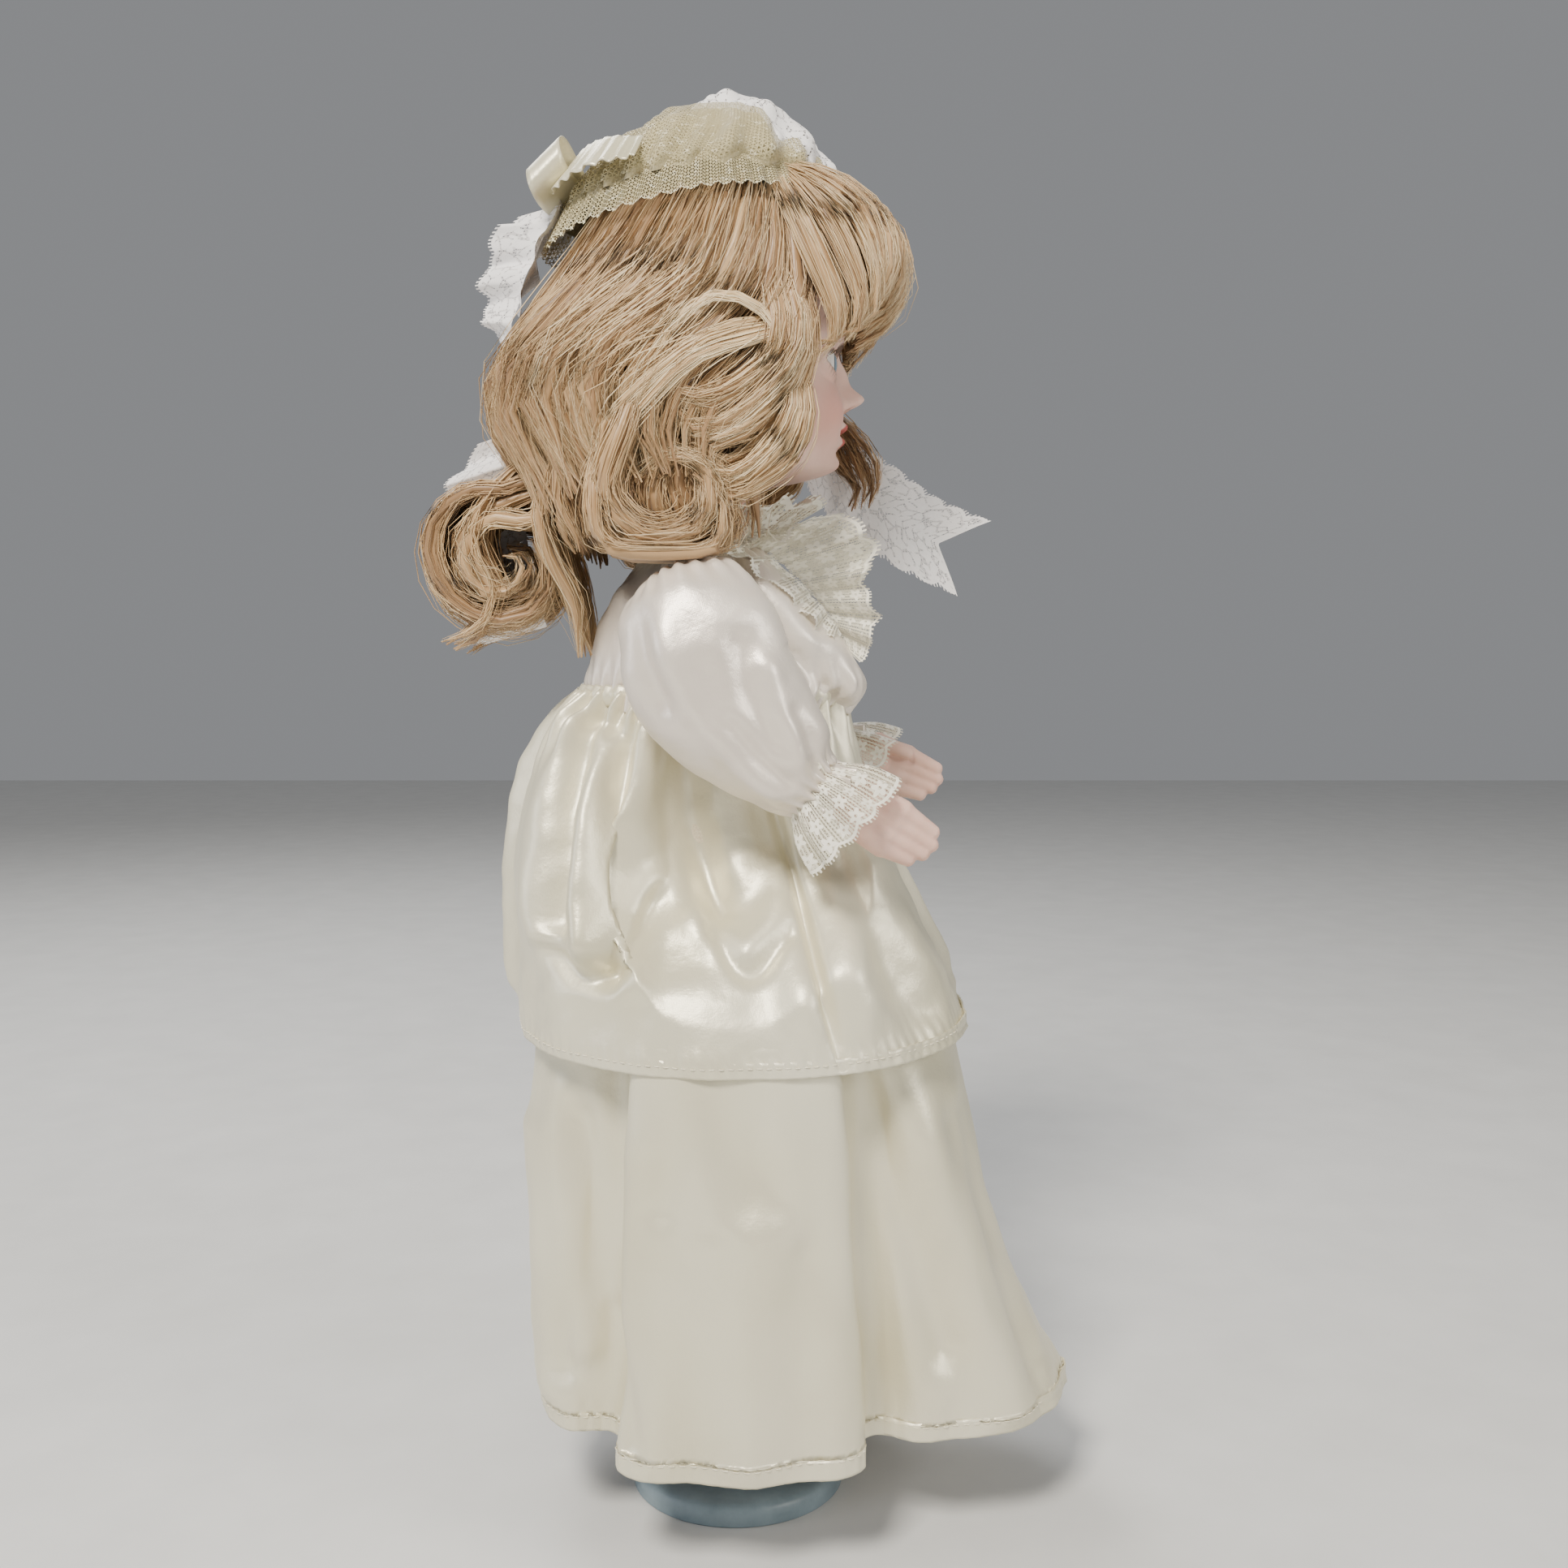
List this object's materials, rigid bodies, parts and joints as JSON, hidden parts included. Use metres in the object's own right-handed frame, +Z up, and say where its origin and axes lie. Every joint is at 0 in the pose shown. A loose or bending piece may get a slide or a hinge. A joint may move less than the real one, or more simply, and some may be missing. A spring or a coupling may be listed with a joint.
{
  "type": "porcelain doll",
  "caption": "Standing collectible porcelain doll in a two-tier ivory satin dress with lace, curled wig and headpiece, on a round saddle stand.",
  "frame": {"origin": "centre of the round stand base's underside, on the table", "axes": "+Z up; the doll faces -Y; its right hand is at -X"},
  "size_m": [0.14, 0.1949, 0.42],
  "materials": {
    "painted_base": "satin",
    "stand_metal": "brushed",
    "muslin": "matte",
    "bisque": "matte",
    "washer": "matte",
    "satin": "satin",
    "sleeve_satin": "satin",
    "cotton_white": "matte",
    "cream_lace": "matte",
    "pate_card": "matte",
    "glass_eye": "gloss",
    "hair": "satin",
    "tulle": "matte",
    "glitter_lace": "matte",
    "shoe_vinyl": "gloss"
  },
  "bodies": {
    "stand": {"stand_base": "painted_base", "stand_tube": "stand_metal", "stand_collar": "stand_metal", "stand_screw": "stand_metal"},
    "doll": {"stand_rod": "stand_metal", "stand_saddle": "stand_metal", "torso": "muslin", "shoulder_plate": "bisque", "neck_washer": "washer", "bodice": "satin", "back_snaps": "stand_metal", "waistband": "satin", "overskirt": "satin", "lower_skirt": "satin", "petticoat": "cotton_white", "collar_frill": "cream_lace", "jabot_upper": "cream_lace", "jabot_lower": "cream_lace"},
    "head": {"head_shell": "bisque", "head_pate": "pate_card", "right_eye": "glass_eye", "left_eye": "glass_eye", "eyelashes": "hair", "neck_bolt": "stand_metal", "neck_nut": "stand_metal", "wig_cap": "hair", "hair_crown": "hair", "hair_bangs": "hair", "hair_right_side": "hair", "hair_left_side": "hair", "hair_back": "hair", "hair_back_curl": "hair", "hat_crown": "tulle", "hat_brim": "satin", "hat_ruffle": "glitter_lace", "hat_bow": "satin", "lace_tail_back": "glitter_lace", "lace_tail_left": "glitter_lace"},
    "right_arm": {"right_upper_arm": "muslin", "right_forearm": "bisque", "right_arm_tie": "cotton_white", "right_sleeve": "sleeve_satin", "right_cuff": "cream_lace"},
    "right_leg": {"right_upper_leg": "muslin", "right_lower_leg": "bisque", "right_leg_tie": "cotton_white", "right_bloomer": "cotton_white", "right_sock": "cotton_white", "right_shoe": "shoe_vinyl"},
    "left_arm": {"left_upper_arm": "muslin", "left_forearm": "bisque", "left_arm_tie": "cotton_white", "left_sleeve": "sleeve_satin", "left_cuff": "cream_lace"},
    "left_leg": {"left_upper_leg": "muslin", "left_lower_leg": "bisque", "left_leg_tie": "cotton_white", "left_bloomer": "cotton_white", "left_sock": "cotton_white", "left_shoe": "shoe_vinyl"}
  },
  "joints": [
    {"name": "stand_height", "type": "slide", "parent": "stand", "child": "doll", "axis": [0, 0, 1], "range_m": [0, 0.03]},
    {"name": "head_turn", "type": "hinge", "parent": "doll", "child": "head", "pos_m": [0, 0.008, 0.29], "axis": [0, 0, 1], "range_deg": [-15, 15]},
    {"name": "right_shoulder", "type": "hinge", "parent": "doll", "child": "right_arm", "pos_m": [-0.044, 0.008, 0.268], "axis": [1, 0, 0], "range_deg": [-40, 0]},
    {"name": "left_shoulder", "type": "hinge", "parent": "doll", "child": "left_arm", "pos_m": [0.044, 0.008, 0.268], "axis": [1, 0, 0], "range_deg": [-30, 10]},
    {"name": "right_hip", "type": "hinge", "parent": "doll", "child": "right_leg", "pos_m": [-0.016, 0.008, 0.186], "axis": [1, 0, 0], "range_deg": [-15, 12]},
    {"name": "left_hip", "type": "hinge", "parent": "doll", "child": "left_leg", "pos_m": [0.016, 0.008, 0.186], "axis": [1, 0, 0], "range_deg": [-15, 12]}
  ]
}
